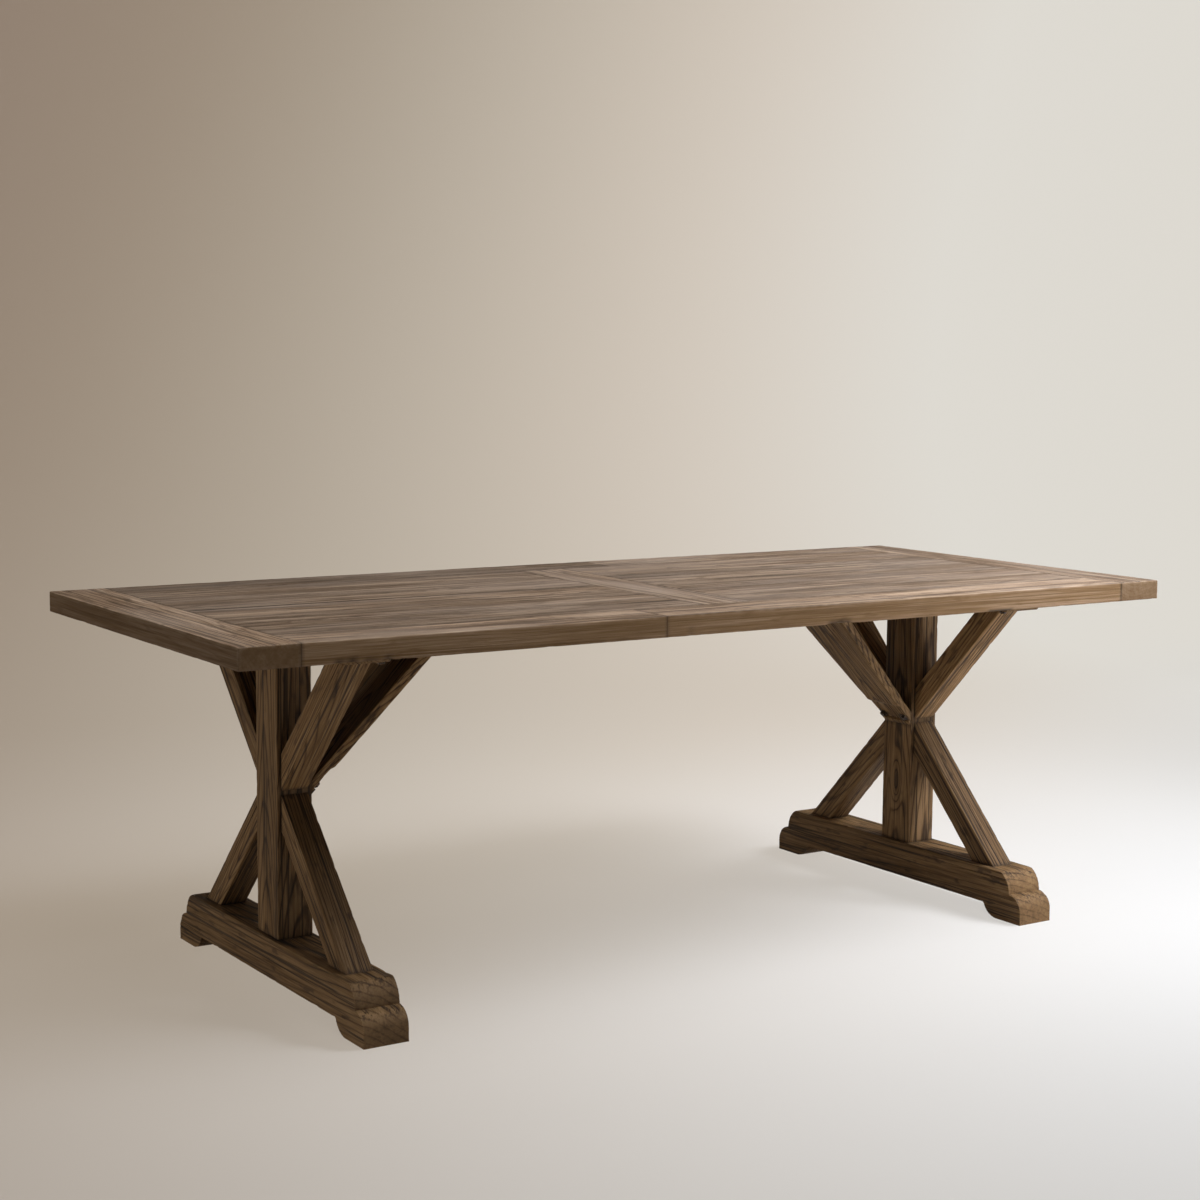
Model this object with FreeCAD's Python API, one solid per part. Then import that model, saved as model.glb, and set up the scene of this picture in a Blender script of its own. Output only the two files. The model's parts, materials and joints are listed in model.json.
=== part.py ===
import FreeCAD, Part
import math
import os

os.makedirs("parts", exist_ok=True)

# Sawbuck dining table: a framed plank top on two braced trestles.
# Millimetres. X runs along the table, Y across it to the rear, Z up from the floor under the table's middle.

# Whole table
table_length = 2235.0
table_width = 965.0
table_height = 762.0
trestle_setback = 304.0

# Making allowances
fit_clearance = 0.2
cut_overrun = 5.0
arris_round = 2.0

# Framed top
top_thickness = 42.0
rail_width = 118.0
top_edge_round = 3.0
seam_bevel = 1.0
tongue_thickness = 12.0
tongue_depth = 10.0
rail_tenon_thickness = 14.0
rail_tenon_width = 66.0
rail_tenon_length = 55.0
front_seam_share = 0.384
rear_seam_share = 0.595
left_plank_shares = (0.219, 0.240, 0.171, 0.177, 0.193)
right_plank_shares = (0.239, 0.088, 0.143, 0.203, 0.165, 0.162)
spline_length = 80.0

# Foot, with a stepped double round at each end and a relief between two pads
foot_setback = 46.5
foot_width = 93.0
foot_height = 110.0
foot_flat_inset = 64.0
foot_shoulder_inset = 36.0
foot_shoulder_height = 63.0
pad_length = 77.0
relief_height = 29.0
relief_round = 42.0
relief_fillet = 8.0

# Post and its tenons
post_depth = 75.0
post_width = 98.0
post_tenon_thickness = 30.0
post_tenon_width = 58.0
post_foot_tenon_length = 55.0
post_head_tenon_length = 15.0

# Braces, which meet the post just above and just below its waist
brace_thickness = 58.0
brace_width = 52.0
brace_setback = 43.0
waist_gap = 8.0
brace_tenon_thickness = 20.0
brace_tenon_length = 16.0
brace_tenon_share = 0.5

# Bearer under the top
bearer_setback = 110.5
bearer_width = 94.0
bearer_thickness = 23.0
bearer_bevel = 8.0
bearer_screw_inset = 9.0
bearer_screw_shares = (-0.473, -0.206, 0.103, 0.473)
bearer_screw_length = 46.0

# Knee brace, a board that widens as it rises from the post to the top
knee_thickness = 22.0
knee_foot_width = 98.0
knee_head_width = 190.0
knee_angle = 46.8
knee_step = 20.5
knee_notch_start = 14.0
knee_notch_length = 60.0
knee_notch_depth = 5.5
knee_notch_ramp = 12.0
knee_bolt_place = 24.0
knee_bolt_spacing = 72.0
knee_bolt_length = 46.0
knee_tenon_thickness = 12.0
knee_tenon_width = 110.0
knee_tenon_length = 12.0

# Six-sided lag bolts, and the square washers under those of the knees
bolt_diameter = 8.0
bolt_head_flats = 13.0
bolt_head_height = 5.5
bolt_head_sides = 6
washer_width = 18.0
washer_thickness = 1.6

# Places worked out from the sizes
half_length = table_length / 2
half_width = table_width / 2
top_bottom = table_height - top_thickness
top_middle = table_height - top_thickness / 2
groove_depth = tongue_depth + fit_clearance
groove_thickness = tongue_thickness + 2 * fit_clearance
field_end = half_length - rail_width
field_side = half_width - rail_width
cross_side = rail_width / 2
rail_middle = half_width - rail_width / 2
front_seam = field_end * (2 * front_seam_share - 1)
rear_seam = field_end * (2 * rear_seam_share - 1)
trestle_middle = trestle_setback - half_length
foot_end = half_width - foot_setback
post_side = post_width / 2
post_face = trestle_middle + post_depth / 2
bearer_bottom = top_bottom - bearer_thickness
bearer_end = half_width - bearer_setback
waist_height = (foot_height + bearer_bottom) / 2
brace_run = bearer_end - brace_setback - post_side
brace_rise = bearer_bottom - waist_height - waist_gap / 2
brace_slope = brace_rise / brace_run
brace_cut = brace_width * math.hypot(1, brace_slope)
knee_height = waist_height + knee_step
knee_sine = math.sin(math.radians(knee_angle))
knee_cosine = math.cos(math.radians(knee_angle))
knee_run = (top_bottom - knee_height) / knee_sine
knee_heel = -knee_thickness * knee_sine / knee_cosine
notch_floor = knee_notch_depth - knee_thickness

along = FreeCAD.Vector(1, 0, 0)
across = FreeCAD.Vector(0, 1, 0)
up = FreeCAD.Vector(0, 0, 1)


def point(x, y, z):
    return FreeCAD.Vector(x, y, z)


def box(x0, x1, y0, y1, z0, z1):
    """A box between two places on each axis, in either order."""
    low = point(min(x0, x1), min(y0, y1), min(z0, z1))
    return Part.makeBox(abs(x1 - x0), abs(y1 - y0), abs(z1 - z0), low)


def middle_box(x0, x1, y0, y1, thickness):
    """A box at the middle of the top's thickness."""
    return box(x0, x1, y0, y1, top_middle - thickness / 2, top_middle + thickness / 2)


def rod(diameter, length, start, direction):
    return Part.makeCylinder(diameter / 2, length, start, direction)


def prism(corners, drawn):
    """A solid from a closed run of corners, drawn out by a vector."""
    return Part.Face(Part.makePolygon(corners + corners[:1])).extrude(drawn)


def edges_along(solid, direction):
    """The straight edges that run the same way as the direction."""
    found = []
    for edge in solid.Edges:
        run = edge.Vertexes[-1].Point - edge.Vertexes[0].Point
        if run.cross(direction).Length < fit_clearance * direction.Length:
            found.append(edge)
    return found


def cut_all(solid, cutters):
    """Cut with those cutters whose boxes reach the solid."""
    near = [c for c in cutters if c.BoundBox.intersect(solid.BoundBox)]
    return solid.cut(Part.makeCompound(near)) if near else solid


# Framed top

def corner_tenon(side_x, side_y, allowance):
    """A side rail's tenon into an end rail, or its mortise."""
    half = rail_tenon_width / 2 + allowance
    middle = side_y * rail_middle
    reach = field_end + rail_tenon_length + allowance
    thickness = rail_tenon_thickness + 2 * allowance
    return middle_box(side_x * field_end, side_x * reach, middle - half, middle + half, thickness)


def cross_tenon(side, allowance):
    """The cross rail's tenon into a side rail, or its mortise."""
    half = rail_tenon_width / 2 + allowance
    reach = field_side + rail_tenon_length + allowance
    return middle_box(-half, half, side * field_side, side * reach, rail_tenon_thickness + 2 * allowance)


def seam_spline(seam, side, allowance):
    """The loose tenon across a side rail's seam, or its mortises."""
    half = rail_tenon_width / 2 + allowance
    middle = side * rail_middle
    reach = spline_length / 2 + allowance
    thickness = rail_tenon_thickness + 2 * allowance
    return middle_box(seam - reach, seam + reach, middle - half, middle + half, thickness)


def end_rail(side):
    inner = side * field_end
    rail = box(inner, side * half_length, -half_width, half_width, top_bottom, table_height)
    outer = [e for e in rail.Edges if abs(e.CenterOfMass.x - inner) > fit_clearance
             and e.CenterOfMass.z > top_bottom + fit_clearance]
    rail = rail.makeFillet(top_edge_round, outer)
    reach = field_side + groove_depth
    groove = middle_box(inner - side * cut_overrun, inner + side * groove_depth, -reach, reach,
                        groove_thickness)
    return cut_all(rail, [groove] + [corner_tenon(side, end, fit_clearance) for end in (-1, 1)])


def side_rail(side, end, seam):
    """One length of side rail, from the end rail where it is tenoned to the seam where it is splined."""
    inner = side * field_side
    rail = box(end * field_end, seam, inner, side * half_width, top_bottom, table_height)
    outer = [e for e in edges_along(rail, along) if abs(e.CenterOfMass.y - inner) > fit_clearance
             and e.CenterOfMass.z > top_middle]
    rail = rail.makeFillet(top_edge_round, outer)
    groove = middle_box(-half_length, half_length, inner - side * cut_overrun, inner + side * groove_depth,
                        groove_thickness)
    rail = cut_all(rail, [groove, cross_tenon(side, fit_clearance), seam_spline(seam, side, fit_clearance)])
    return rail.fuse(corner_tenon(end, side, 0))


def cross_rail():
    rail = box(-cross_side, cross_side, -field_side, field_side, top_bottom, table_height)
    grooves = [middle_box(side * (cross_side - groove_depth), side * (cross_side + cut_overrun),
                          -half_width, half_width, groove_thickness) for side in (-1, 1)]
    return cut_all(rail, grooves).multiFuse([cross_tenon(side, 0) for side in (-1, 1)])


def plank(x0, x1, front, rear, at_rear):
    """A plank with tongues at its ends and front, and at its rear a tongue for the rail or else a groove."""
    body = box(x0, x1, front, rear, top_bottom, table_height)
    top_edges = [e for e in body.Edges if e.CenterOfMass.z > table_height - fit_clearance]
    body = body.makeChamfer(seam_bevel, top_edges)
    tongue_rear = rear + tongue_depth if at_rear else rear
    tongue = middle_box(x0 - tongue_depth, x1 + tongue_depth, front - tongue_depth, tongue_rear,
                        tongue_thickness)
    solid = body.fuse(tongue)
    if not at_rear:
        groove = middle_box(-half_length, half_length, rear - groove_depth, rear + cut_overrun,
                            groove_thickness)
        solid = solid.cut(groove)
    return solid


def plank_field(name, x0, x1, shares, holes):
    """The planks of one field by name, from the rear to the front."""
    planks = {}
    rear = field_side
    for number, share in enumerate(shares, 1):
        front = rear - 2 * field_side * share / sum(shares)
        planks[f"{name}_plank_{number}"] = cut_all(plank(x0, x1, front, rear, number == 1), holes)
        rear = front
    return planks


def framed_top(holes):
    pieces = {"cross_rail": cross_rail()}
    for end, end_name in ((-1, "left"), (1, "right")):
        pieces[f"{end_name}_end_rail"] = end_rail(end)
        pieces[f"front_rail_{end_name}"] = side_rail(-1, end, front_seam)
        pieces[f"rear_rail_{end_name}"] = side_rail(1, end, rear_seam)
    pieces["front_rail_spline"] = seam_spline(front_seam, -1, 0)
    pieces["rear_rail_spline"] = seam_spline(rear_seam, 1, 0)
    pieces.update(plank_field("left", -field_end, -cross_side, left_plank_shares, holes))
    pieces.update(plank_field("right", cross_side, field_end, right_plank_shares, holes))
    return pieces


# Foot and post

def foot_half_outline(side):
    """Edges of half of the foot's outline, from the middle of the relief round to the middle of the top."""
    toe = foot_end
    pad = toe - pad_length
    flat = toe - foot_flat_inset
    shoulder = toe - foot_shoulder_inset
    toe_round = toe - shoulder
    step = shoulder - flat
    drop = foot_height - foot_shoulder_height
    upper_round = (step ** 2 + drop ** 2) / (2 * step)
    upper_turn = math.asin(drop / upper_round)
    relief_turn = math.acos(1 - relief_height / relief_round)

    def at(y, z):
        return point(trestle_middle - foot_width / 2, side * y, z)

    def on_relief(turn):
        return at(pad - relief_round * math.sin(turn), relief_round * (1 - math.cos(turn)))

    def on_toe(turn):
        return at(shoulder + toe_round * math.cos(turn),
                  foot_shoulder_height - toe_round * (1 - math.sin(turn)))

    def on_upper(turn):
        return at(shoulder - upper_round * (1 - math.cos(turn)),
                  foot_shoulder_height + upper_round * math.sin(turn))

    def line(start, end):
        return Part.LineSegment(start, end).toShape()

    def bend(curve, start, end):
        return Part.Arc(curve(start), curve((start + end) / 2), curve(end)).toShape()

    return [
        line(at(0, relief_height), on_relief(relief_turn)),
        bend(on_relief, relief_turn, 0),
        line(on_relief(0), at(toe, 0)),
        line(at(toe, 0), on_toe(0)),
        bend(on_toe, 0, math.pi / 2),
        bend(on_upper, 0, upper_turn),
        line(on_upper(upper_turn), at(0, foot_height)),
    ]


def foot():
    outline = Part.Wire(Part.__sortEdges__(foot_half_outline(1) + foot_half_outline(-1)))
    solid = Part.Face(outline).extrude(along * foot_width).removeSplitter()
    ceiling = [e for e in edges_along(solid, along) if abs(e.CenterOfMass.z - relief_height) < fit_clearance]
    solid = solid.makeFillet(relief_fillet, ceiling)
    top_edges = [e for e in edges_along(solid, across) if e.CenterOfMass.z > foot_height - fit_clearance]
    solid = solid.makeFillet(arris_round, top_edges)
    braces = [brace_seat_tenon(side, -1, fit_clearance) for side in (-1, 1)]
    return cut_all(solid, [post_foot_tenon(fit_clearance)] + braces)


def post_tenon(z0, z1, allowance):
    x = post_tenon_thickness / 2 + allowance
    y = post_tenon_width / 2 + allowance
    return box(trestle_middle - x, trestle_middle + x, -y, y, z0, z1)


def post_foot_tenon(allowance):
    return post_tenon(foot_height, foot_height - post_foot_tenon_length - allowance, allowance)


def post_head_tenon(allowance):
    return post_tenon(bearer_bottom, bearer_bottom + post_head_tenon_length + allowance, allowance)


def post():
    shaft = box(post_face - post_depth, post_face, -post_side, post_side, foot_height, bearer_bottom)
    shaft = shaft.makeFillet(arris_round, edges_along(shaft, up))
    mortises = [brace_post_tenon(side, rise, fit_clearance) for side in (-1, 1) for rise in (-1, 1)]
    holes = [lay_on_knee(hole) for hole in knee_bolt_holes(0)]
    return cut_all(shaft, mortises + holes).multiFuse([post_foot_tenon(0), post_head_tenon(0)])


# Braces: a rise of 1 goes up to the bearer and -1 goes down to the foot

def brace_ends(rise):
    """Heights of the brace's two edges on the post, its seat, and its inner and outer places there."""
    far = waist_height + rise * waist_gap / 2
    near = far + rise * brace_cut
    seat = bearer_bottom if rise > 0 else foot_height
    inner = post_side + abs(seat - near) / brace_slope
    outer = post_side + abs(seat - far) / brace_slope
    return far, near, seat, inner, outer


def brace_post_tenon(side, rise, allowance):
    far, near, seat, inner, outer = brace_ends(rise)
    x = brace_tenon_thickness / 2 + allowance
    z = brace_tenon_share * brace_cut / 2 + allowance
    middle = (far + near) / 2
    reach = post_side - brace_tenon_length - allowance
    return box(trestle_middle - x, trestle_middle + x, side * post_side, side * reach,
               middle - z, middle + z)


def brace_seat_tenon(side, rise, allowance):
    far, near, seat, inner, outer = brace_ends(rise)
    x = brace_tenon_thickness / 2 + allowance
    y = brace_tenon_share * (outer - inner) / 2 + allowance
    middle = side * (inner + outer) / 2
    reach = seat + rise * (brace_tenon_length + allowance)
    return box(trestle_middle - x, trestle_middle + x, middle - y, middle + y, seat, reach)


def brace(side, rise):
    far, near, seat, inner, outer = brace_ends(rise)
    x = trestle_middle - brace_thickness / 2
    section = ((post_side, far), (post_side, near), (inner, seat), (outer, seat))
    corners = [point(x, side * y, z) for y, z in section]
    solid = prism(corners, along * brace_thickness)
    slope = point(0, side * (inner - post_side), seat - near).normalize()
    solid = solid.makeFillet(arris_round, edges_along(solid, slope))
    return solid.multiFuse([brace_post_tenon(side, rise, 0), brace_seat_tenon(side, rise, 0)])


# Lag bolts and washers

def bolt(under, direction, length):
    """A six-sided lag bolt, from the underside of its head."""
    corner = bolt_head_flats / 2 / math.cos(math.pi / bolt_head_sides)
    turns = [2 * math.pi * step / bolt_head_sides for step in range(bolt_head_sides)]
    corners = [under + point(corner * math.cos(turn), corner * math.sin(turn), 0) for turn in turns]
    head = prism(corners, direction * -bolt_head_height)
    return head.fuse(rod(bolt_diameter, length, under, direction))


def bolt_hole(under, direction, length, allowance):
    """A lag bolt's hole: with an allowance it is loose on the bolt, and without one the bolt grips."""
    return rod(bolt_diameter + 2 * allowance, length + fit_clearance, under, direction)


# Bearer

def bearer_screw_seats():
    x = bearer_width / 2 - bearer_screw_inset
    return [point(trestle_middle + x * (-1) ** number, share * 2 * field_side, bearer_bottom)
            for number, share in enumerate(bearer_screw_shares)]


def bearer_screws():
    return [bolt(seat, up, bearer_screw_length) for seat in bearer_screw_seats()]


def bearer_screw_holes(allowance):
    return [bolt_hole(seat, up, bearer_screw_length, allowance) for seat in bearer_screw_seats()]


def bearer():
    x = bearer_width / 2
    solid = box(trestle_middle - x, trestle_middle + x, -bearer_end, bearer_end, bearer_bottom, top_bottom)
    low_ends = [e for e in edges_along(solid, along) if e.CenterOfMass.z < bearer_bottom + fit_clearance]
    solid = solid.makeChamfer(bearer_bevel, low_ends)
    mortises = [brace_seat_tenon(side, 1, fit_clearance) for side in (-1, 1)]
    return cut_all(solid, [post_head_tenon(fit_clearance)] + mortises + bearer_screw_holes(fit_clearance))


# Knee brace: drawn flat, with X along the board, Y across it and Z square to its upper face

def lay_on_knee(solid):
    """Turn a flat-drawn solid up to the knee's angle, its origin where the upper face meets the post."""
    placed = solid.copy()
    placed.rotate(point(0, 0, 0), across, -knee_angle)
    placed.translate(point(post_face, 0, knee_height))
    return placed


def knee_half_width(x):
    return (knee_foot_width + (knee_head_width - knee_foot_width) * x / knee_run) / 2


def knee_bolt_seats():
    """Places on the notch's floor, under the washers."""
    x = knee_heel + knee_bolt_place
    return [point(x, side * knee_bolt_spacing / 2, notch_floor) for side in (-1, 1)]


def knee_bolt_holes(allowance):
    return [bolt_hole(seat - up * washer_thickness, up, knee_bolt_length, allowance)
            for seat in knee_bolt_seats()]


def knee_bolts():
    return [lay_on_knee(bolt(seat - up * washer_thickness, up, knee_bolt_length))
            for seat in knee_bolt_seats()]


def knee_washers():
    corner = point(washer_width / 2, washer_width / 2, washer_thickness)
    plates = [Part.makeBox(washer_width, washer_width, washer_thickness, seat - corner)
              for seat in knee_bolt_seats()]
    return [lay_on_knee(cut_all(plate, knee_bolt_holes(fit_clearance))) for plate in plates]


def knee_tenon(allowance):
    """The stub tenon on the knee brace's head, or its mortise across the planks."""
    middle = post_face + knee_run * knee_cosine + knee_thickness / knee_sine / 2
    x = knee_tenon_thickness / 2 + allowance
    y = knee_tenon_width / 2 + allowance
    return box(middle - x, middle + x, -y, y, top_bottom, top_bottom + knee_tenon_length + allowance)


def knee_notch():
    """The notch across the lower face, square at its foot and ramped at its head."""
    below = -knee_thickness - cut_overrun
    low_end = knee_heel + knee_notch_start
    high_end = low_end + knee_notch_length
    section = ((low_end, below), (low_end, notch_floor), (high_end - knee_notch_ramp, notch_floor),
               (high_end, -knee_thickness), (high_end, below))
    return prism([point(x, -half_width, z) for x, z in section], across * table_width)


def knee_brace():
    start = knee_heel - cut_overrun
    end = knee_run + knee_thickness / knee_sine + cut_overrun
    plan = [point(x, side * knee_half_width(x), -knee_thickness)
            for x, side in ((start, -1), (end, -1), (end, 1), (start, 1))]
    board = prism(plan, up * knee_thickness)
    board = board.makeFillet(arris_round, [e for e in board.Edges if e.Length > knee_run])
    board = cut_all(board, [knee_notch()] + knee_bolt_holes(fit_clearance))
    reach = box(post_face, 0, -half_width, half_width, 0, top_bottom)
    return lay_on_knee(board).common(reach).fuse(knee_tenon(0))


# Whole table

def trestle():
    """The pieces of the left trestle by name."""
    pieces = {"foot": foot(), "post": post(), "bearer": bearer(), "knee_brace": knee_brace()}
    for side, side_name in ((-1, "front"), (1, "rear")):
        pieces[f"lower_brace_{side_name}"] = brace(side, -1)
        pieces[f"upper_brace_{side_name}"] = brace(side, 1)
    groups = {
        "bearer_screws": bearer_screws(),
        "knee_bolts": knee_bolts(),
        "knee_washers": knee_washers(),
    }
    pieces.update({name: Part.makeCompound(group) for name, group in groups.items()})
    return pieces


def opposite(solid):
    """The mirror image at the other end of the table."""
    return solid.mirror(point(0, 0, 0), along)


def main():
    holes = bearer_screw_holes(0) + [knee_tenon(fit_clearance)]
    pieces = framed_top(holes + [opposite(hole) for hole in holes])
    for name, solid in trestle().items():
        pieces[f"left_{name}"] = solid
        pieces[f"right_{name}"] = opposite(solid)
    for name, solid in pieces.items():
        solid.exportStep(f"parts/{name}.step")


main()
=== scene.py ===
import json
import math
import random

import bmesh
import bpy
from mathutils import Matrix, Vector, bvhtree, kdtree, noise
from mathutils.geometry import intersect_point_line


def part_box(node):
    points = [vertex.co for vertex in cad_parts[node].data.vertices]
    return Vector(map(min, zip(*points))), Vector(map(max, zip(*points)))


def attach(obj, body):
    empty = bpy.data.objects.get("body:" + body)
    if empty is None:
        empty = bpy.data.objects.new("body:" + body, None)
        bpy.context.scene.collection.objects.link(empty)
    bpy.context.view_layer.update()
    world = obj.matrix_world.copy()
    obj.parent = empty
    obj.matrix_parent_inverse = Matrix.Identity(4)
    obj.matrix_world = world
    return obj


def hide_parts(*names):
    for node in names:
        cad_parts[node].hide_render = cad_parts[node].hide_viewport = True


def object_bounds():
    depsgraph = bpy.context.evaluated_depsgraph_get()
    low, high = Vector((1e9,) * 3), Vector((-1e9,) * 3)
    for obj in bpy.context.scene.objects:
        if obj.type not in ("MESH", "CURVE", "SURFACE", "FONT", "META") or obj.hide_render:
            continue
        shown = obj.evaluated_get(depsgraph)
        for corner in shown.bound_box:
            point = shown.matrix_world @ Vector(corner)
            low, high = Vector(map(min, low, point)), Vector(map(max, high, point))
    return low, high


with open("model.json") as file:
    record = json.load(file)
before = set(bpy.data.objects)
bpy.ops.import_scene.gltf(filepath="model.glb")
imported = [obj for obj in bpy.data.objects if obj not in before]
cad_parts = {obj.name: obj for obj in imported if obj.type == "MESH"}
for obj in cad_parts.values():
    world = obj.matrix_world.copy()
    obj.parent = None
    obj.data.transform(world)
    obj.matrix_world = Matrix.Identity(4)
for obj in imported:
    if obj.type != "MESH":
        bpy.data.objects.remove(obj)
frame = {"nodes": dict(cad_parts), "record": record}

cad_box = [[float(value) for value in corner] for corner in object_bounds()]

# The table in weathered wood and blackened steel on a pale paper sweep, seen from the photograph's place.
# Lengths are in metres, in the frame of the solids: X along the table, Y across it to the rear, Z up.

ALONG, ACROSS, UP = Vector((1, 0, 0)), Vector((0, 1, 0)), Vector((0, 0, 1))
FRONT, SURFACE = cad_box[0][1], cad_box[1][2]
TOP_THICKNESS = 0.042
BRACE_RUN, BRACE_RISE = 0.280, 0.2895
KNEE_ANGLE = math.radians(46.8)

# A timber's mesh: the step between its points, by material slot, the distance within which points are one,
# the turn below which two faces are one flat face, and the turn above which the edge between them looks sharp.
MESH_STEPS = {"top_wood": 0.014, "base_wood": 0.011, "spline_wood": 0.02}
SAME_POINT = 1e-6
FLAT_TURN = math.radians(0.4)
CREASE_TURN = math.radians(38)

# Planes this far in from each face that is larger than this area, in square metres, cut the faces beside it.
BROAD_FACE = 0.0012
FACE_INSETS = (0.0025, 0.007)

# An edge is an arris if it turns sharply, or if it turns a little beside a face as narrow as a rounding.
SHARP_TURN, SLIGHT_TURN = math.radians(25), math.radians(3)
ROUNDING_WIDTH = 0.0012
ARRIS_STEP = 0.004

# How far wear reaches from an arris, and the darkening from a joint with another timber, which is dirt and
# painted contact shade.
WEAR_REACH, JOINT_DARK_REACH = 0.006, 0.005

# Depths of wear: on all arrises, at their soft and nicked places, and in the hollows of faces.
ARRIS_DEPTH, SOFT_DEPTH, NICK_DEPTH, HOLLOW_DEPTH = 0.0005, 0.0004, 0.004, 0.0003

# How often the wear's noises change in a metre, and the noise from which a nick begins.
SOFT_SCALE, NICK_SCALE, HOLLOWS_ALONG, HOLLOWS_ACROSS = 22, 55, 4, 16
NICK_LEVEL = 0.28

# Points lower than this stand on the floor and aren't worn.
FLOOR_CONTACT = 0.0005

# Between which values each timber's own places in the noises of its wear and of its grain lie.
WEAR_SHIFTS, GRAIN_SEEDS = (0, 50), (0, 40)

# Drying splits: the most at each end, their least and greatest length, the length of timber below which they
# are shorter, and how far from the middle they lie at most, as a share of the timber's width.
MOST_SPLITS = 2
SPLIT_LENGTHS = (0.05, 0.22)
FULL_TIMBER = 0.6
SPLIT_PLACE_SHARE = 0.4

# A split's depth, its half width, and the depth where it is dark. Its depth at the inner end is a share of the
# whole, and the share grows by one in the taper's length until the split has its full depth.
SPLIT_DEPTH, SPLIT_HALF_WIDTH, SPLIT_DARK_DEPTH = 0.0014, 0.0008, 0.0008
SPLIT_END_SHARE, SPLIT_TAPER = 0.25, 0.08

# How near to a face, to a split's middle and to its ends a point counts as on it.
NEAR_FACE, NEAR_SPLIT, NEAR_END = 2e-4, 1e-4, 0.001

# How much finer than usual the grain is, by the end of a timber's name.
FINENESS = (
    ("post", 0.95),
    ("foot", 1.15),
    ("knee_brace", 1.2),
    ("front", 1.1),
    ("rear", 1.1),
    ("bearer", 1.2),
)

# Knots: place along and across from the heart, and radius.
NO_KNOT = (9.0, 9.0, 0.01)
KNOTS = {
    "right_post": (-0.125, 0.0, 0.011),
    "right_plank_6": (0.33, 0.0, 0.011),
    "right_plank_2": (-0.2, 0.01, 0.008),
    "left_plank_2": (0.18, 0.02, 0.010),
    "left_plank_4": (-0.31, -0.02, 0.009),
}


def on_surface(x, y):
    """A place on the top's upper side."""
    return Vector((x, y, SURFACE))


def on_front_edge(x, height):
    """A place on the top's front edge, by its height above the lower arris."""
    return Vector((x, FRONT, SURFACE - TOP_THICKNESS + height))


# Dark seams, cracks and marks on the top and its front edge: start, end, spread, and strength up to 1.
CRACKS = [
    (on_surface(-0.985, 0.030), on_surface(-0.070, 0.030), 0.009, 1.0),
    (on_surface(0.060, 0.126), on_surface(0.225, 0.126), 0.009, 1.0),
    (on_surface(-0.990, -0.3645), on_surface(-0.500, -0.3645), 0.008, 0.7),
    (on_front_edge(-0.173, 0.002), on_front_edge(-0.173, 0.020), 0.004, 0.8),
    (on_front_edge(0.174, 0.0005), on_front_edge(0.229, 0.0005), 0.006, 1.0),
    (on_front_edge(0.597, 0.0005), on_front_edge(0.664, 0.0005), 0.006, 1.0),
]

# Chips in the front edge's lower arris: middle, radius and depth.
CHIPS = [
    (on_front_edge(-0.930, 0.0), 0.010, 0.0022),
    (on_front_edge(-0.905, 0.0005), 0.014, 0.0026),
    (on_front_edge(-0.868, 0.0), 0.012, 0.0020),
    (on_front_edge(-0.832, 0.0005), 0.013, 0.0022),
    (on_front_edge(0.178, 0.0), 0.010, 0.0050),
    (on_front_edge(0.196, 0.0005), 0.013, 0.0055),
    (on_front_edge(0.218, 0.0), 0.010, 0.0022),
]

# How dark the chips are, how much that varies, and how often in a metre.
CHIP_DARK, CHIP_MOTTLE, MOTTLE_SCALE = 0.7, 0.5, 300

# How light timbers are: the upper side, and beside it the other sides and the ends, as their own tones and as
# painted light and shade.
PLAIN_TONES, SIDE_PAINTED_LIGHT, END_TONE = (0.9, 1.1), 1.0, 0.8
TONES_AND_PAINTED_LIGHT = {
    "left_end_rail": (1.42, 0.56, END_TONE),
    "front_rail_left": (1.4, 1.12, END_TONE),
    "rear_rail_left": (0.78, SIDE_PAINTED_LIGHT, END_TONE),
    "front_rail_right": (1.42, 1.19, END_TONE),
    "rear_rail_right": (1.1, SIDE_PAINTED_LIGHT, END_TONE),
    "right_end_rail": (1.1, SIDE_PAINTED_LIGHT, 1.12),
    "cross_rail": (1.1, SIDE_PAINTED_LIGHT, END_TONE),
    "left_plank_4": (0.96, SIDE_PAINTED_LIGHT, END_TONE),
    "left_plank_5": (0.94, SIDE_PAINTED_LIGHT, END_TONE),
    "right_plank_2": (0.78, SIDE_PAINTED_LIGHT, END_TONE),
    "right_plank_6": (0.96, SIDE_PAINTED_LIGHT, END_TONE),
    "left_foot": (1.0, 0.95, 0.62),
    "left_lower_brace_front": (0.9, 1.15, END_TONE),
    "left_upper_brace_front": (1.25, SIDE_PAINTED_LIGHT, END_TONE),
    # Painted shade on this brace's upper face and painted light on its sides.
    "left_knee_brace": (0.6, 2.3, END_TONE),
    "right_foot": (1.0, 0.85, 0.95),
    "right_post": (1.04, SIDE_PAINTED_LIGHT, END_TONE),
    "right_lower_brace_front": (0.93, 0.95, END_TONE),
    "right_upper_brace_front": (1.48, 0.95, END_TONE),
}

# Noises that push the growth rings aside: how often they change in a metre along and across the grain, their
# levels of detail, and how far they push.
RING_SWAYS = ((1.5, 7, 2, 0.05), (8, 45, 2, 0.005))

# Marks in the wood: how often their noise changes in a metre along and across the grain, its levels of
# detail, and the noise where a mark begins and where it is full.
MARKS = {
    "clear_rings": (1.3, 14, 2, 0.36, 0.6),
    "fibres": (6, 280, 4, 0.36, 0.64),
    "bands": (2.2, 18, 3, 0.36, 0.64),
    "stripes": (3.6, 95, 3, 0.33, 0.67),
    "lines": (1.8, 150, 2, 0.565, 0.6),
    "pores": (24, 1200, 2, 0.58, 0.7),
    "flecks": (16, 62, 2, 0.6, 0.68),
    "silvering": (2.5, 11, 3, 0.42, 0.72),
    "rubbing": (30, 90, 3, 0.35, 0.65),
}


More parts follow.
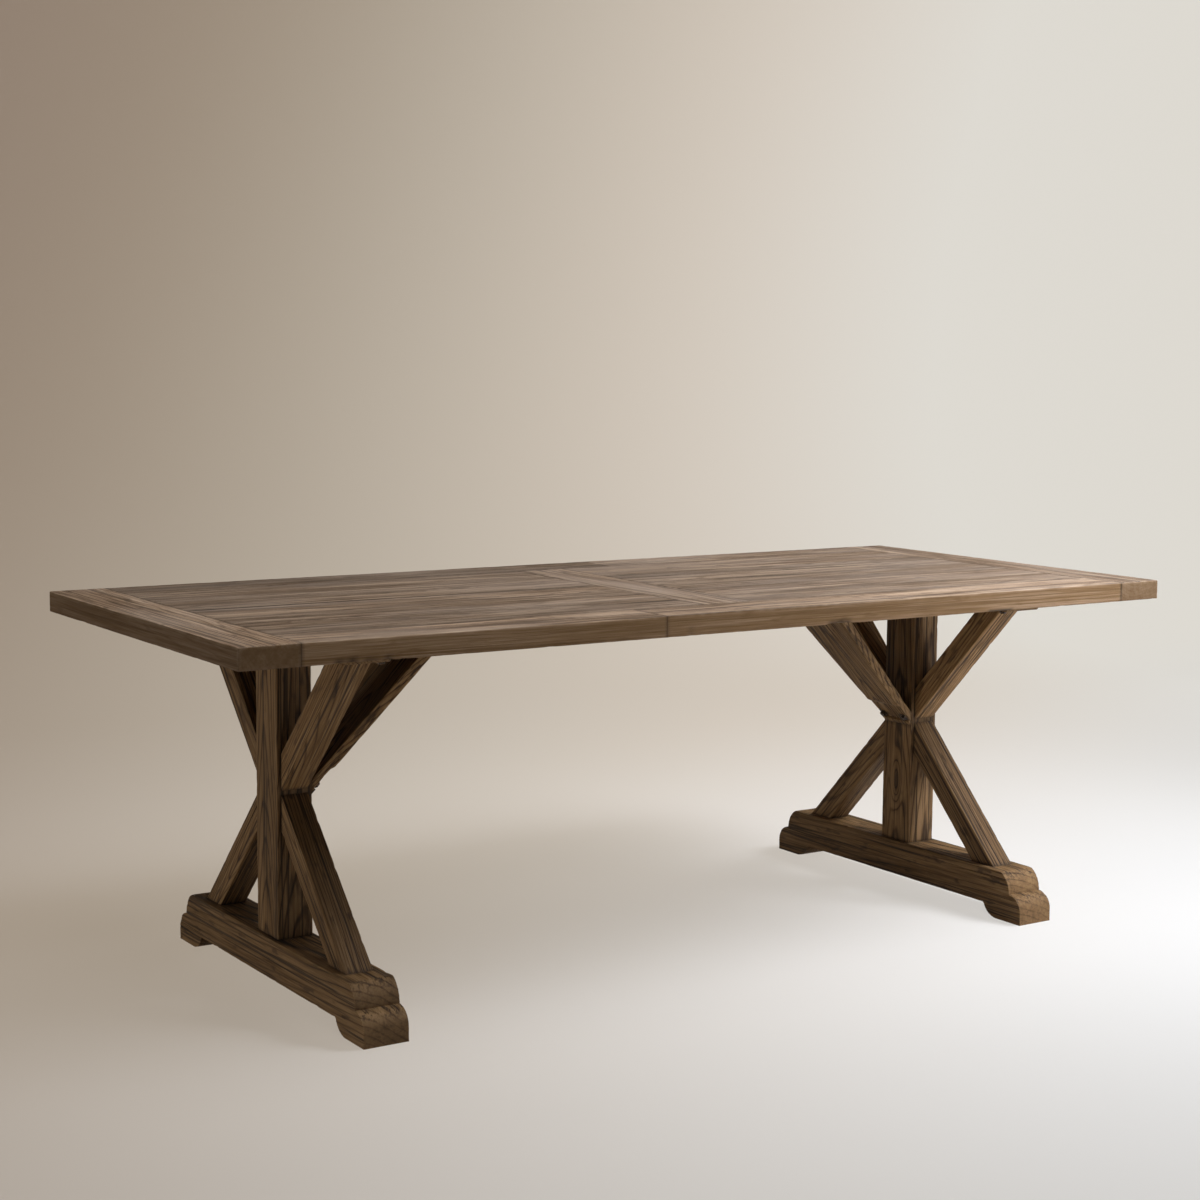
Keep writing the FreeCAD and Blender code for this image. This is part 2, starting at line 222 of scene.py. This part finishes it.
def srgb(red, green, blue):
    """A colour as it is seen, 0 to 255, as linear light with full alpha."""
    def linear(value):
        share = value / 255
        return share / 12.92 if share <= 0.04045 else ((share + 0.055) / 1.055) ** 2.4
    return linear(red), linear(green), linear(blue), 1.0


def grey(value):
    return value, value, value, 1.0


# Dressed timbers

def grain_axes(name):
    """The way a timber's grain runs, the way across its broad face, and the way through it."""
    if name.endswith("knee_brace"):
        side = 1 if name.startswith("left") else -1
        run, across = Vector((side * math.cos(KNEE_ANGLE), 0, math.sin(KNEE_ANGLE))), ACROSS
    elif "brace" in name:
        side = -1 if name.endswith("front") else 1
        rise = 1 if "upper" in name else -1
        run = Vector((0, side * BRACE_RUN, rise * BRACE_RISE)).normalized()
        across = ALONG.cross(run)
    elif name.endswith("post"):
        run, across = UP, ACROSS
    elif name.endswith(("end_rail", "cross_rail", "bearer")):
        run, across = ACROSS, ALONG
    elif name.endswith("foot"):
        run, across = ACROSS, UP
    else:
        run, across = ALONG, ACROSS
    return run, across, run.cross(across)


def face_width(face):
    return face.calc_area() / max(edge.calc_length() for edge in face.edges)


def arris_tree(bm):
    """Points along the sharp and rounded outer edges, to find how near a place is to one."""
    points = []
    for edge in bm.edges:
        if len(edge.link_faces) != 2 or not edge.is_convex:
            continue
        turn = edge.calc_face_angle(0)
        narrowest = min(face_width(face) for face in edge.link_faces)
        if turn > SHARP_TURN or (turn > SLIGHT_TURN and narrowest < ROUNDING_WIDTH):
            first, last = (vert.co for vert in edge.verts)
            count = max(1, round(edge.calc_length() / ARRIS_STEP))
            points += [first.lerp(last, step / count) for step in range(count + 1)]
    tree = kdtree.KDTree(len(points))
    for number, place in enumerate(points):
        tree.insert(place, number)
    tree.balance()
    return tree


def neighbour_tree(name):
    """The faces of all the other timbers near one, to find where it meets them."""
    low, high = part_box(name)
    verts, faces = [], []
    for part in frame["record"]["subparts"]:
        other = part["node"]
        if other == name or not part["material_slot"].endswith("wood"):
            continue
        other_low, other_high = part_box(other)
        if any(other_low[axis] > high[axis] + JOINT_DARK_REACH or other_high[axis] < low[axis] - JOINT_DARK_REACH
               for axis in range(3)):
            continue
        mesh = frame["nodes"][other].data
        first = len(verts)
        verts += [vert.co.copy() for vert in mesh.vertices]
        faces += [[first + number for number in face.vertices] for face in mesh.polygons]
    return bvhtree.BVHTree.FromPolygons(verts, faces)


def cuts_beside_faces(bm):
    """Planes a little way in from each broad flat face, so that wear stays near its edges."""
    planes = {}
    for face in bm.faces:
        if face.calc_area() > BROAD_FACE:
            for inset in FACE_INSETS:
                place = face.calc_center_median() - face.normal * inset
                key = tuple(round(value, 3) for value in face.normal) + (round(place.dot(face.normal), 4),)
                planes[key] = (place, face.normal.copy())
    return list(planes.values())


def cuts_along(bm, axis, step):
    """Evenly spaced planes square to an axis."""
    places = [vert.co.dot(axis) for vert in bm.verts]
    low, high = min(places), max(places)
    count = max(1, round((high - low) / step))
    return [(axis * (low + (high - low) * number / count), axis) for number in range(1, count)]


def slice_by(bm, planes):
    for place, direction in planes:
        everything = bm.verts[:] + bm.edges[:] + bm.faces[:]
        bmesh.ops.bisect_plane(bm, geom=everything, dist=SAME_POINT, plane_co=place, plane_no=direction)


def splits_of(dice, size):
    """Drying splits along the grain, each with its place across, its start and its end."""
    splits = []
    for end in (-1, 1):
        for _ in range(dice.randint(0, MOST_SPLITS)):
            outer = end * size[0] / 2
            inner = outer - end * dice.uniform(*SPLIT_LENGTHS) * min(1.0, size[0] / FULL_TIMBER)
            place = dice.uniform(-SPLIT_PLACE_SHARE, SPLIT_PLACE_SHARE) * size[1]
            splits.append((place, min(outer, inner), max(outer, inner)))
    return splits


def marks_at(place):
    """How deep the chips are at a place, and how dark the chips, seams and cracks make it."""
    depth = dark = 0.0
    for middle, radius, deepest in CHIPS:
        gap = (place - middle).length
        if gap < radius:
            inside = 1 - (gap / radius) ** 2
            depth += deepest * inside
            dark = max(dark, inside * (CHIP_DARK + CHIP_MOTTLE * noise.noise(place * MOTTLE_SCALE)))
    for start, end, spread, strength in CRACKS:
        nearest, share = intersect_point_line(place, start, end)
        if 0 <= share <= 1:
            dark = max(dark, strength * (1 - (place - nearest).length / spread))
    return depth, dark


class Timber:
    """A piece of wood worn from one of the solids, with its grain's place at every point."""

    def __init__(self, name, step):
        self.name = name
        self.dice = random.Random(name)
        self.axes = grain_axes(name)
        self.bm = bmesh.new()
        self.bm.from_mesh(frame["nodes"][name].data)
        bmesh.ops.remove_doubles(self.bm, verts=self.bm.verts[:], dist=SAME_POINT)
        bmesh.ops.dissolve_limit(self.bm, angle_limit=FLAT_TURN, verts=self.bm.verts[:],
                                 edges=self.bm.edges[:])
        self.arrises = arris_tree(self.bm)
        self.neighbours = neighbour_tree(name)
        spans = [[vert.co.dot(axis) for vert in self.bm.verts] for axis in self.axes]
        self.middle = [(max(span) + min(span)) / 2 for span in spans]
        self.size = [max(span) - min(span) for span in spans]
        self.fineness = next((value for ending, value in FINENESS if name.endswith(ending)), 1.0)
        self.splits = splits_of(self.dice, self.size)
        self.cut(step)
        self.weather()

    def place(self, co):
        """A point's place along, across and through the timber, from its middle."""
        return Vector([co.dot(axis) - middle for axis, middle in zip(self.axes, self.middle)])

    def cut(self, step):
        """Give the faces points enough for the wear and the splits."""
        planes = cuts_beside_faces(self.bm)
        for axis in self.axes:
            planes += cuts_along(self.bm, axis, step)
        across = self.axes[1]
        for place, _, _ in self.splits:
            for offset in (-SPLIT_HALF_WIDTH, 0, SPLIT_HALF_WIDTH):
                planes.append((across * (self.middle[1] + place + offset), across))
        slice_by(self.bm, planes)
        corners = [face for face in self.bm.faces if len(face.verts) > 4]
        bmesh.ops.triangulate(self.bm, faces=corners)

    def split_depth(self, spot):
        """How far a drying split opens here, less towards its inner end."""
        on_face = abs(abs(spot.z) - self.size[2] / 2) < NEAR_FACE
        depth = 0.0
        for place, start, end in self.splits:
            if on_face and abs(spot.y - place) < NEAR_SPLIT and start - NEAR_END < spot.x < end + NEAR_END:
                inner = end - spot.x if start < 0 else spot.x - start
                depth = max(depth, SPLIT_DEPTH * min(1.0, SPLIT_END_SHARE + inner / SPLIT_TAPER))
        return depth

    def weather(self):
        """Wear the arrises, sink soft places, and open the splits and chips, always inwards."""
        bm = self.bm
        grain = bm.verts.layers.float_vector.new("grain")
        wear = bm.verts.layers.float.new("wear")
        split = bm.verts.layers.float.new("split")
        joint_dirt_and_shade = bm.verts.layers.float.new("joint_dirt_and_shade")
        end = bm.verts.layers.float.new("end")
        shift = Vector([self.dice.uniform(*WEAR_SHIFTS) for _ in self.axes])
        pith = self.pith()
        bm.normal_update()
        moved = {}
        for vert in bm.verts:
            spot = self.place(vert.co)
            near = max(0.0, 1 - self.arrises.find(vert.co)[2] / WEAR_REACH) ** 2
            touching = self.neighbours.find_nearest(vert.co, JOINT_DARK_REACH)[3]
            joined = 0.0 if touching is None else 1 - touching / JOINT_DARK_REACH
            soft = noise.noise(spot * SOFT_SCALE + shift)
            nick = max(0.0, noise.noise(spot * NICK_SCALE + shift) - NICK_LEVEL)
            drawn = Vector((spot.x * HOLLOWS_ALONG, spot.y * HOLLOWS_ACROSS, spot.z * HOLLOWS_ACROSS))
            hollow = max(0.0, noise.noise(drawn + shift))
            opening = self.split_depth(spot)
            chip_depth, marked = marks_at(vert.co)
            worn = near * (ARRIS_DEPTH + SOFT_DEPTH * soft + NICK_DEPTH * nick)
            vert[grain] = (spot - pith) * self.fineness
            vert[wear] = near * (1 - joined)
            vert[joint_dirt_and_shade] = joined
            vert[end] = abs(vert.normal.dot(self.axes[0]))
            vert[split] = max(min(1.0, opening / SPLIT_DARK_DEPTH), marked)
            if vert.co.z > FLOOR_CONTACT:
                moved[vert] = vert.normal * (worn + HOLLOW_DEPTH * hollow + opening + chip_depth)
        for vert, step in moved.items():
            vert.co -= step

    def pith(self):
        """Where the heart of the tree was, across and through the timber from its middle."""
        dice = self.dice
        if self.name.endswith("post"):
            across, through = dice.uniform(-0.008, 0.008), -0.012
        elif self.name.endswith("foot"):
            across, through = dice.uniform(-0.17, -0.13), dice.choice((-1, 1)) * dice.uniform(0.05, 0.09)
        elif "brace" in self.name:
            across, through = dice.uniform(-0.05, 0.05), dice.choice((-1, 1)) * dice.uniform(0.03, 0.06)
        else:
            across, through = dice.uniform(-0.7, 0.7) * self.size[1], -dice.uniform(0.03, 0.08)
        return Vector((0, across, through))

    def finish(self, material):
        """Make the piece that stands for the solid."""
        mesh = bpy.data.meshes.new(self.name + "_worn")
        self.bm.to_mesh(mesh)
        self.bm.free()
        stale = mesh.attributes.get("custom_normal")
        if stale:
            mesh.attributes.remove(stale)
        mesh.shade_smooth()
        mesh.set_sharp_from_angle(angle=CREASE_TURN)
        knot = KNOTS.get(self.name, NO_KNOT)
        # The listed tones paint light and shade on whole faces as well as giving timbers their own tones.
        plain = (self.dice.uniform(*PLAIN_TONES), SIDE_PAINTED_LIGHT, END_TONE)
        tone_and_painted_light, painted_side_light, end_tone_and_painted_light = TONES_AND_PAINTED_LIGHT.get(self.name, plain)
        seed = self.dice.uniform(*GRAIN_SEEDS)
        for label, value in (("look", (tone_and_painted_light, seed, painted_side_light)), ("knot", knot)):
            layer = mesh.attributes.new(label, "FLOAT_VECTOR", "POINT")
            layer.data.foreach_set("vector", list(value) * len(mesh.vertices))
        layer = mesh.attributes.new("end_tone_and_painted_light", "FLOAT", "POINT")
        layer.data.foreach_set("value", [end_tone_and_painted_light] * len(mesh.vertices))
        mesh.materials.clear()
        mesh.materials.append(material)
        piece = bpy.data.objects.new(self.name + "_worn", mesh)
        bpy.context.scene.collection.objects.link(piece)
        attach(piece, "root")
        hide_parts(self.name)


# Materials

class Nodes:
    """Short ways to add nodes to a tree."""

    def __init__(self, tree):
        self.tree = tree

    def give(self, socket, value):
        """Join another node's output to an input, or set the input to a value."""
        if isinstance(value, bpy.types.NodeSocket):
            self.tree.links.new(value, socket)
        else:
            socket.default_value = value

    def add(self, kind, inputs, out=0, **settings):
        """An output of a new node, by the node's kind, what its inputs take, and its settings."""
        made = self.tree.nodes.new("ShaderNode" + kind)
        for key, value in settings.items():
            setattr(made, key, value)
        for key, value in inputs.items():
            self.give(made.inputs[key], value)
        return made.outputs[out]

    def attribute(self, name, out="Fac"):
        return self.add("Attribute", {}, out=out, attribute_name=name)

    def axis(self, vector, letter):
        return self.add("SeparateXYZ", {0: vector}, out=letter)

    def stretch(self, vector, factors):
        return self.add("VectorMath", {0: vector, 1: factors}, operation="MULTIPLY")

    def length(self, vector):
        return self.add("VectorMath", {0: vector}, out="Value", operation="LENGTH")

    def dot(self, vector, other):
        return self.add("VectorMath", {0: vector, 1: other}, out="Value", operation="DOT_PRODUCT")

    def calc(self, operation, first, second=0.0, third=0.0):
        return self.add("Math", {0: first, 1: second, 2: third}, operation=operation)

    def times(self, first, second):
        return self.calc("MULTIPLY", first, second)

    def between(self, value, low, high, to_low=0.0, to_high=1.0, curve="LINEAR"):
        """A value's place between two others, as a place between two more."""
        inputs = {"Value": value, "From Min": low, "From Max": high, "To Min": to_low, "To Max": to_high}
        return self.add("MapRange", inputs, interpolation_type=curve)

    def mix(self, factor, first, second):
        """A colour between two others. A Mix node's colours are its inputs 6 and 7 and its output 2."""
        return self.add("Mix", {0: factor, 6: first, 7: second}, out=2, data_type="RGBA")

    def ramp(self, factor, stops, interpolation="LINEAR"):
        """A colour from a row of places and colours."""
        made = self.tree.nodes.new("ShaderNodeValToRGB")
        made.color_ramp.interpolation = interpolation
        elements = made.color_ramp.elements
        while len(elements) < len(stops):
            elements.new(0.5)
        for element, (place, colour) in zip(elements, stops):
            element.position = place
            element.color = colour if len(colour) == 4 else (*colour, 1.0)
        self.give(made.inputs[0], factor)
        return made.outputs[0]


def new_material(name):
    """A material, the short ways to add nodes to it, and its shader."""
    material = bpy.data.materials.new(name)
    material.use_nodes = True
    return material, Nodes(material.node_tree), material.node_tree.nodes["Principled BSDF"]


def wood(name, colours, ring_width, taper, weights, spread, bleached, side_colour_and_painted_shade, joint_dirt_and_shade_level):
    """Coarse weathered timber: growth rings round the heart, fibres, pores, bands, knots, worn edges, splits.

    The colours are the dark, middle, pale, silvered and edge ones. The weights are those of the rings,
    fibres, bands and stripes, and the spread says at which of their sums the first three colours lie.
    """
    material, nodes, shader = new_material(name)
    calc, times, between, mix = nodes.calc, nodes.times, nodes.between, nodes.mix
    dark, middle, pale, silver, edge = colours
    ring_weight, fibre_weight, band_weight, stripe_weight = weights
    line_share, pore_share, heart_share, rubbed_share, split_share = 0.8, 0.6, 0.7, 0.25, 0.9
    line_depth, pore_depth = -0.5, -0.35
    knot_shape, knot_push = (0.3, 1.0, 0.0), 2.0
    end_level = 0.25

    grain = nodes.attribute("grain", "Vector")
    look = nodes.attribute("look", "Vector")
    knot = nodes.attribute("knot", "Vector")
    tone_and_painted_light, seed, painted_side_light = (nodes.axis(look, letter) for letter in "XYZ")
    knot_size = nodes.axis(knot, "Z")

    # The sides of the grain have 1 and its ends a lower level. Upper sides have 1 and all others 0.
    side_grain = between(nodes.attribute("end"), 0.5, 0.9, 1.0, end_level)
    normal = nodes.add("NewGeometry", {}, out="Normal")
    upward = between(nodes.axis(normal, "Z"), 0.3, 0.8)

    def streaks(along, across, detail, roughness=0.5):
        """Noise drawn out along the grain."""
        place = nodes.stretch(grain, (along, across, across))
        inputs = {"Vector": place, "W": seed, "Scale": 1.0, "Detail": detail, "Roughness": roughness}
        return nodes.add("TexNoise", inputs, noise_dimensions="4D")

    def mark(kind, least=0.0, roughness=0.5):
        """How much of a mark there is, from the least to 1."""
        along, across, detail, begin, full = MARKS[kind]
        return between(streaks(along, across, detail, roughness), begin, full, least)

    # Knots run through the timber's whole thickness and push the rings aside.
    offset = nodes.add("VectorMath", {0: grain, 1: knot}, operation="SUBTRACT")
    knot_gap = calc("DIVIDE", nodes.length(nodes.stretch(offset, knot_shape)), knot_size)
    knot_pull = calc("EXPONENT", times(calc("POWER", knot_gap, 2.0), -0.5))
    heart = between(knot_gap, 0.9, 0.4)

    # Rings round the heart, with a thin dark line of late wood in each.
    radius = nodes.length(nodes.stretch(grain, (0.0, 1.0, 1.0)))
    radius = calc("MULTIPLY_ADD", nodes.axis(grain, "X"), taper, radius)
    for along, across, detail, push in RING_SWAYS:
        sway = calc("SUBTRACT", streaks(along, across, detail), 0.5)
        radius = calc("MULTIPLY_ADD", sway, push, radius)
    radius = calc("MULTIPLY_ADD", times(knot_pull, knot_size), knot_push, radius)
    phase = calc("FRACT", calc("DIVIDE", radius, ring_width))
    late_wood = nodes.ramp(phase, [(0.0, grey(1.0)), (0.04, grey(0.5)), (0.12, grey(0.1)), (0.45, grey(0.0)),
                                   (0.8, grey(0.22)), (0.92, grey(1.0))])
    late_wood = times(late_wood, mark("clear_rings", least=0.35))
    late_wood = times(late_wood, calc("MULTIPLY_ADD", side_grain, 0.75, 0.25))

    fibres = mark("fibres", roughness=0.62)
    fibres = calc("MULTIPLY_ADD", calc("SUBTRACT", fibres, 0.5), side_grain, 0.5)
    lines, pores, flecks = (times(mark(kind), side_grain) for kind in ("lines", "pores", "flecks"))

    body = calc("MULTIPLY_ADD", late_wood, -ring_weight, ring_weight)
    body = calc("MULTIPLY_ADD", fibres, fibre_weight, body)
    body = calc("MULTIPLY_ADD", mark("bands"), band_weight, body)
    body = calc("MULTIPLY_ADD", mark("stripes"), stripe_weight, body)
    colour = nodes.ramp(body, list(zip(spread, (dark, middle, pale))))
    colour = mix(times(lines, line_share), colour, dark)
    colour = mix(times(calc("MAXIMUM", pores, flecks), pore_share), colour, dark)

    # Upper sides are silvered. The others have more of the edge's colour, which is partly painted shade, and
    # their own tones, which paint light and shade too.
    silvered = times(mark("silvering"), calc("MULTIPLY_ADD", upward, bleached, 0.1))
    colour = mix(silvered, colour, silver)
    colour = mix(calc("MULTIPLY_ADD", upward, -side_colour_and_painted_shade, side_colour_and_painted_shade), colour, edge)
    # Whole faces are made lighter or darker by the tones: painted light and shade beside the timbers' own
    # tones.
    below = between(side_grain, end_level, 1.0, nodes.attribute("end_tone_and_painted_light"), painted_side_light)
    shade = times(tone_and_painted_light, between(upward, 0.0, 1.0, below, 1.0))
    colour = nodes.add("HueSaturation", {"Value": shade, "Color": colour})

    colour = mix(times(heart, heart_share), colour, dark)
    rubbed = times(nodes.attribute("wear"), mark("rubbing"))
    colour = mix(times(rubbed, rubbed_share), colour, pale)
    # Joints are darkened as dirt and painted contact shade, and splits, chips and seams are darkened too.
    joint_dirt_and_shade = times(nodes.attribute("joint_dirt_and_shade"), joint_dirt_and_shade_level)
    split = times(nodes.attribute("split"), split_share)
    colour = mix(calc("MAXIMUM", joint_dirt_and_shade, split), colour, srgb(20, 14, 9))

    height = calc("MULTIPLY_ADD", pores, pore_depth, calc("MULTIPLY_ADD", lines, line_depth, body))
    bump = nodes.add("Bump", {"Strength": 0.6, "Distance": 0.001, "Height": height})
    nodes.give(shader.inputs["Base Color"], colour)
    nodes.give(shader.inputs["Roughness"], between(fibres, 0.0, 1.0, 0.8, 0.6))
    nodes.give(shader.inputs["Specular IOR Level"], 0.2)
    nodes.give(shader.inputs["Normal"], bump)
    return material


def black_steel():
    """Blackened steel, rubbed bright in spots, with fine scratches."""
    material, nodes, shader = new_material("blackened_steel")
    black, worn, bright = srgb(46, 39, 33), srgb(86, 72, 60), srgb(140, 116, 100)
    place = nodes.add("TexCoord", {}, out="Object")
    spots = nodes.add("TexNoise", {"Vector": place, "Scale": 260.0, "Detail": 4.0})
    drawn = nodes.stretch(place, (1.0, 1.0, 14.0))
    scratches = nodes.add("TexNoise", {"Vector": drawn, "Scale": 380.0, "Detail": 3.0})
    bump = nodes.add("Bump", {"Strength": 0.2, "Distance": 0.0002, "Height": scratches})
    nodes.give(shader.inputs["Base Color"], nodes.ramp(spots, [(0.42, black), (0.58, worn), (0.7, bright)]))
    nodes.give(shader.inputs["Roughness"], nodes.between(spots, 0.3, 0.7, 0.62, 0.42))
    nodes.give(shader.inputs["Metallic"], 0.9)
    nodes.give(shader.inputs["Normal"], bump)
    return material


def seen_rays(nodes):
    """1 for what the camera sees, straight or in gloss and glass, and 0 for light that falls on things."""
    seen = nodes.add("LightPath", {}, out="Is Camera Ray")
    for ray in ("Is Glossy Ray", "Is Transmission Ray"):
        seen = nodes.calc("MAXIMUM", seen, nodes.add("LightPath", {}, out=ray))
    return seen


def paper_with_painted_light():
    """Paper seen in part by the lamps and in part by a pale glow of painted light, warmer and darker to the
    left, which also lightens the paper's shadows.
    """
    material, nodes, shader = new_material("paper_with_painted_light")
    nodes.give(shader.inputs["Base Color"], srgb(238, 234, 229))
    nodes.give(shader.inputs["Roughness"], 0.9)
    nodes.give(shader.inputs["Specular IOR Level"], 0.1)
    # The glow is painted light, seen only straight, in gloss and in glass: darker and warmer to the left, and
    # changing from near to far.
    right_way, left_end, right_end = (0.1406, -0.0540, -0.0541), -0.50, 0.443
    rear_way, near_end, far_end = (-0.3, 0.95, 0.5), -1.5, 1.5
    near_share, far_share = 0.64, 0.735
    place = nodes.add("NewGeometry", {}, out="Position")
    rightward = nodes.between(nodes.dot(place, right_way), left_end, right_end)
    rearward = nodes.between(nodes.dot(place, rear_way), near_end, far_end, curve="SMOOTHSTEP")
    steps = (0.0, 0.25, 0.5, 0.75, 1.0)
    near_painted_light = ((0.250, 0.200, 0.150), (0.300, 0.222, 0.152), (0.710, 0.666, 0.610), (0.972, 0.985, 0.990),
                  (1.000, 1.000, 1.000))
    far_painted_light = ((0.322, 0.237, 0.185), (0.380, 0.293, 0.208), (0.630, 0.553, 0.451), (0.884, 0.780, 0.668),
                 (1.000, 0.975, 0.903))
    near = nodes.ramp(rightward, list(zip(steps, near_painted_light)), "B_SPLINE")
    far = nodes.ramp(rightward, list(zip(steps, far_painted_light)), "B_SPLINE")
    painted_glow = nodes.add("Emission", {"Color": nodes.mix(rearward, near, far)})
    painted_glow_share = nodes.times(seen_rays(nodes), nodes.between(rearward, 0.0, 1.0, near_share, far_share))
    mixed = nodes.add("MixShader", {0: painted_glow_share, 1: shader.outputs[0], 2: painted_glow})
    nodes.give(material.node_tree.nodes["Material Output"].inputs["Surface"], mixed)
    return material


# The table

top_wood = wood(
    "weathered_top_wood",
    (srgb(50, 34, 21), srgb(124, 101, 79), srgb(180, 156, 132), srgb(154, 137, 122), srgb(98, 72, 40)),
    ring_width=0.0065, taper=0.02, weights=(0.22, 0.34, 0.2, 0.24), spread=(0.2, 0.53, 0.86),
    bleached=0.4, side_colour_and_painted_shade=0.76, joint_dirt_and_shade_level=0.5)
base_colours = (srgb(27, 16, 8), srgb(100, 73, 42), srgb(146, 113, 74), srgb(112, 90, 62), srgb(88, 63, 36))
base_look = {"taper": 0.05, "weights": (0.46, 0.26, 0.14, 0.14), "spread": (0.2, 0.55, 0.86),
             "bleached": 0.1, "side_colour_and_painted_shade": 0.1, "joint_dirt_and_shade_level": 0.6}
base_wood = wood("weathered_base_wood", base_colours, ring_width=0.0064, **base_look)
foot_wood = wood("weathered_foot_wood", base_colours, ring_width=0.016, **base_look)
plain_wood = wood(
    "plain_inner_wood",
    (srgb(128, 98, 66), srgb(164, 134, 98), srgb(190, 164, 128), srgb(160, 140, 112), srgb(150, 120, 84)),
    ring_width=0.004, taper=0.02, weights=(0.4, 0.3, 0.15, 0.15), spread=(0.18, 0.55, 0.9),
    bleached=0.0, side_colour_and_painted_shade=0.1, joint_dirt_and_shade_level=0.3)
woods = {"top_wood": top_wood, "base_wood": base_wood, "spline_wood": plain_wood}
steel = black_steel()


def dress_hardware(name):
    """Give a solid of hardware its steel and eased edges."""
    hardware = frame["nodes"][name]
    hardware.data.materials.clear()
    hardware.data.materials.append(steel)
    bevel = hardware.modifiers.new("eased_edges", "BEVEL")
    bevel.width = 0.0004
    bevel.segments = 2
    bevel.limit_method = "ANGLE"
    bevel.angle_limit = math.radians(40)


for subpart in frame["record"]["subparts"]:
    node_name, slot_name = subpart["node"], subpart["material_slot"]
    if slot_name in woods:
        timber_wood = foot_wood if node_name.endswith("foot") else woods[slot_name]
        Timber(node_name, MESH_STEPS[slot_name]).finish(timber_wood)
    else:
        dress_hardware(node_name)


# Stage, lights and camera

def sweep():
    """A seamless floor and backdrop."""
    turn_radius, turn_steps = 3.0, 24
    front, back, height, half_width = -40.0, 6.0, 6.5, 40.0
    turn_start = back - turn_radius
    profile = [(front, 0.0), (turn_start, 0.0)]
    for step in range(1, turn_steps + 1):
        angle = math.radians(90 * step / turn_steps)
        y = turn_start + turn_radius * math.sin(angle)
        z = turn_radius - turn_radius * math.cos(angle)
        profile.append((y, z))
    profile.append((back, height))
    mesh = bpy.data.meshes.new("sweep")
    verts = [(side * half_width, y, z) for y, z in profile for side in (-1, 1)]
    faces = [(2 * n, 2 * n + 1, 2 * n + 3, 2 * n + 2) for n in range(len(profile) - 1)]
    mesh.from_pydata(verts, [], faces)
    mesh.shade_smooth()
    piece = bpy.data.objects.new("sweep", mesh)
    bpy.context.scene.collection.objects.link(piece)
    mesh.materials.append(paper_with_painted_light())


def soft_light(name, place, aim, size, watts, spread=180, colour=(1.0, 1.0, 1.0)):
    """A round lamp at a place, turned to another, with its spread in degrees."""
    lamp = bpy.data.lights.new(name, "AREA")
    lamp.shape = "DISK"
    lamp.size = size
    lamp.energy = watts
    lamp.color = colour
    lamp.spread = math.radians(spread)
    holder = bpy.data.objects.new(name, lamp)
    holder.location = place
    holder.rotation_euler = (Vector(aim) - Vector(place)).to_track_quat("-Z", "Y").to_euler()
    bpy.context.scene.collection.objects.link(holder)
    return holder


def lamps():
    """A key and a low fill from the right, a light from above, and fills from the left and the rear right."""
    soft_light("key", (2.2, -1.2, 2.6), (0.9, -0.1, 0.6), size=1.7, watts=34, spread=85,
               colour=(0.95, 1.0, 1.1))
    soft_light("overhead", (-0.9, -0.7, 3.0), (-0.6, -0.3, 0.0), size=1.8, watts=28)
    soft_light("low_fill", (1.5, -2.6, 0.4), (0.8, -0.1, 0.5), size=0.8, watts=2.75, spread=55,
               colour=(0.92, 1.0, 1.2))
    soft_light("left_fill", (-5.0, 0.9, 0.4), (-0.4, 0.0, 0.35), size=0.8, watts=39)
    rear_fill = soft_light("rear_fill", (5.0, 1.9, 0.9), (0.2, 0.0, 0.4), size=1.2, watts=5, spread=50)
    rear_fill.visible_glossy = False


def studio_world():
    """Faint light from all round, seen as a pale tone beyond the floor's edge."""
    light_strength, seen_strength = 0.008, 0.4
    world = bpy.data.worlds.new("studio")
    world.use_nodes = True
    background = world.node_tree.nodes["Background"]
    nodes = Nodes(world.node_tree)
    nodes.give(background.inputs["Color"], (1.0, 0.97, 0.93, 1.0))
    strength = nodes.between(seen_rays(nodes), 0.0, 1.0, light_strength, seen_strength)
    nodes.give(background.inputs["Strength"], strength)
    bpy.context.scene.world = world


def photo_camera():
    """The camera where the photograph was taken from, for a square picture."""
    place = (-2.576839, -3.842967, 1.273678)
    yaw, pitch, roll = 0.577633, 0.117116, 0.008952
    forward = Vector((math.sin(yaw) * math.cos(pitch), math.cos(yaw) * math.cos(pitch), -math.sin(pitch)))
    right = Vector((math.cos(yaw), -math.sin(yaw), 0))
    up = right.cross(forward)
    tilted_right = right * math.cos(roll) + up * math.sin(roll)
    tilted_up = up * math.cos(roll) - right * math.sin(roll)
    turn = Matrix((tilted_right, tilted_up, -forward)).transposed()
    data = bpy.data.cameras.new("photo_camera")
    data.sensor_width = 36.0
    data.lens = 64.581
    data.clip_end = 60
    holder = bpy.data.objects.new("photo_camera", data)
    holder.matrix_world = Matrix.Translation(place) @ turn.to_4x4()
    bpy.context.scene.collection.objects.link(holder)
    bpy.context.scene.camera = holder


sweep()
lamps()
studio_world()
photo_camera()
bpy.context.scene.view_settings.view_transform = "Standard"
